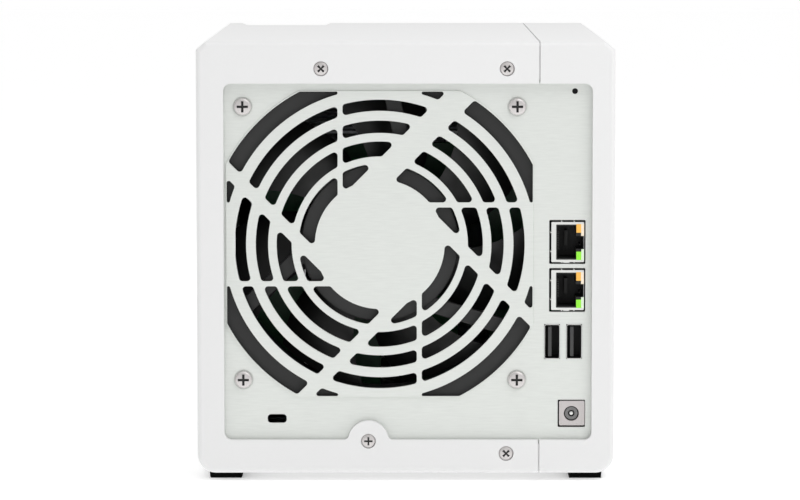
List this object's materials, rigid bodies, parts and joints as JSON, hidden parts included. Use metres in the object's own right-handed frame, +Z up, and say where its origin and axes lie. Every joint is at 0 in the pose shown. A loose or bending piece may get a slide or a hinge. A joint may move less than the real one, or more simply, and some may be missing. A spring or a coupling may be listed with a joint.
{
  "type": "nas enclosure",
  "caption": "Desktop storage enclosure with slide-in drive trays, lever-opened tray fronts, a rear exhaust fan behind a slotted grille, network, USB and power sockets.",
  "frame": {"origin": "on the floor under the middle of the case, at the centre of the bounding box's base", "axes": "+Z up; -Y towards the drive trays, +Y towards the fan and the ports; +X to the right seen from the trays"},
  "size_m": [0.16, 0.219, 0.169],
  "materials": {
    "cover_white": "fine matt lacquer on a sheet cover, off-white",
    "bezel_white": "smooth satin moulding, off-white",
    "plate_metal": "fine horizontal brushing, pale with a slight green tint",
    "sheet_steel": "bare zinc-coated sheet",
    "screw_steel": "bright nickel plating, soft edges",
    "fan_plastic": "dark gray moulded plastic",
    "rotor_plastic": "black plastic with a soft sheen",
    "foot_rubber": "matt black rubber",
    "circuit_board": "green solder mask",
    "connector_black": "black moulded nylon",
    "port_shield": "bright tin-plated shell",
    "jack_gray": "light gray moulding",
    "tray_white": "matt moulding, off-white",
    "lever_white": "satin moulding, off-white",
    "button_white": "satin moulding, light gray",
    "lens_clear": "clear light pipe",
    "fin_aluminium": "extruded, unpainted",
    "cell_steel": "bright cell can"
  },
  "bodies": {
    "chassis": {"main_cover": "cover_white", "side_cover": "cover_white", "front_bezel": "bezel_white", "rear_plate": "plate_metal", "cage_shell": "sheet_steel", "cage_roof": "sheet_steel", "bay_divider_1": "sheet_steel", "bay_divider_2": "sheet_steel", "bay_divider_3": "sheet_steel", "fan_frame": "fan_plastic", "fan_screw_1": "screw_steel", "fan_screw_2": "screw_steel", "fan_screw_3": "screw_steel", "fan_screw_4": "screw_steel", "cover_screw_1": "screw_steel", "cover_screw_2": "screw_steel", "cover_screw_3": "screw_steel", "tab_screw": "screw_steel", "foot_front_left": "foot_rubber", "foot_front_right": "foot_rubber", "foot_rear_left": "foot_rubber", "foot_rear_right": "foot_rubber", "mainboard": "circuit_board", "backplane": "circuit_board", "front_board": "circuit_board", "heatsink": "fin_aluminium", "coin_cell": "cell_steel", "sata_connector_1": "connector_black", "sata_connector_2": "connector_black", "sata_connector_3": "connector_black", "sata_connector_4": "connector_black", "lan_jack_1": "port_shield", "lan_jack_2": "port_shield", "rear_usb_port_1": "port_shield", "rear_usb_port_2": "port_shield", "front_usb_port": "port_shield", "dc_jack": "jack_gray", "reset_switch": "connector_black", "status_lens": "lens_clear", "network_lens": "lens_clear", "usb_lens": "lens_clear"},
    "tray_1": {"drive_tray_1": "tray_white"},
    "lever_1": {"tray_lever_1": "lever_white"},
    "latch_1": {"tray_latch_1": "button_white"},
    "tray_2": {"drive_tray_2": "tray_white"},
    "lever_2": {"tray_lever_2": "lever_white"},
    "latch_2": {"tray_latch_2": "button_white"},
    "tray_3": {"drive_tray_3": "tray_white"},
    "lever_3": {"tray_lever_3": "lever_white"},
    "latch_3": {"tray_latch_3": "button_white"},
    "tray_4": {"drive_tray_4": "tray_white"},
    "lever_4": {"tray_lever_4": "lever_white"},
    "latch_4": {"tray_latch_4": "button_white"},
    "fan": {"fan_rotor": "rotor_plastic"},
    "power_key": {"power_button": "button_white"},
    "copy_key": {"copy_button": "button_white"},
    "reset_key": {"reset_button": "connector_black"}
  },
  "joints": [
    {"name": "tray_slide_1", "type": "slide", "parent": "chassis", "child": "tray_1", "axis": [0, -1, 0], "range_m": [0, 0.16]},
    {"name": "lever_hinge_1", "type": "hinge", "parent": "tray_1", "child": "lever_1", "pos_m": [-0.03175, -0.1079, 0.0282], "axis": [1, 0, 0], "range_deg": [0, 55]},
    {"name": "latch_push_1", "type": "slide", "parent": "tray_1", "child": "latch_1", "axis": [0, 1, 0], "range_m": [0, 0.0008], "stiffness_N_per_m": 400},
    {"name": "tray_slide_2", "type": "slide", "parent": "chassis", "child": "tray_2", "axis": [0, -1, 0], "range_m": [0, 0.16]},
    {"name": "lever_hinge_2", "type": "hinge", "parent": "tray_2", "child": "lever_2", "pos_m": [-0.00125, -0.1079, 0.0282], "axis": [1, 0, 0], "range_deg": [0, 55]},
    {"name": "latch_push_2", "type": "slide", "parent": "tray_2", "child": "latch_2", "axis": [0, 1, 0], "range_m": [0, 0.0008], "stiffness_N_per_m": 400},
    {"name": "tray_slide_3", "type": "slide", "parent": "chassis", "child": "tray_3", "axis": [0, -1, 0], "range_m": [0, 0.16]},
    {"name": "lever_hinge_3", "type": "hinge", "parent": "tray_3", "child": "lever_3", "pos_m": [0.02925, -0.1079, 0.0282], "axis": [1, 0, 0], "range_deg": [0, 55]},
    {"name": "latch_push_3", "type": "slide", "parent": "tray_3", "child": "latch_3", "axis": [0, 1, 0], "range_m": [0, 0.0008], "stiffness_N_per_m": 400},
    {"name": "tray_slide_4", "type": "slide", "parent": "chassis", "child": "tray_4", "axis": [0, -1, 0], "range_m": [0, 0.16]},
    {"name": "lever_hinge_4", "type": "hinge", "parent": "tray_4", "child": "lever_4", "pos_m": [0.05975, -0.1079, 0.0282], "axis": [1, 0, 0], "range_deg": [0, 55]},
    {"name": "latch_push_4", "type": "slide", "parent": "tray_4", "child": "latch_4", "axis": [0, 1, 0], "range_m": [0, 0.0008], "stiffness_N_per_m": 400},
    {"name": "fan_spin", "type": "hinge", "parent": "chassis", "child": "fan", "pos_m": [0.0098, 0.0898, 0.0916], "axis": [0, 1, 0], "continuous": true},
    {"name": "power_push", "type": "slide", "parent": "chassis", "child": "power_key", "axis": [0, 1, 0], "range_m": [0, 0.001], "stiffness_N_per_m": 500},
    {"name": "copy_push", "type": "slide", "parent": "chassis", "child": "copy_key", "axis": [0, 1, 0], "range_m": [0, 0.001], "stiffness_N_per_m": 500},
    {"name": "reset_push", "type": "slide", "parent": "chassis", "child": "reset_key", "axis": [0, -1, 0], "range_m": [0, 0.0008], "stiffness_N_per_m": 300}
  ]
}
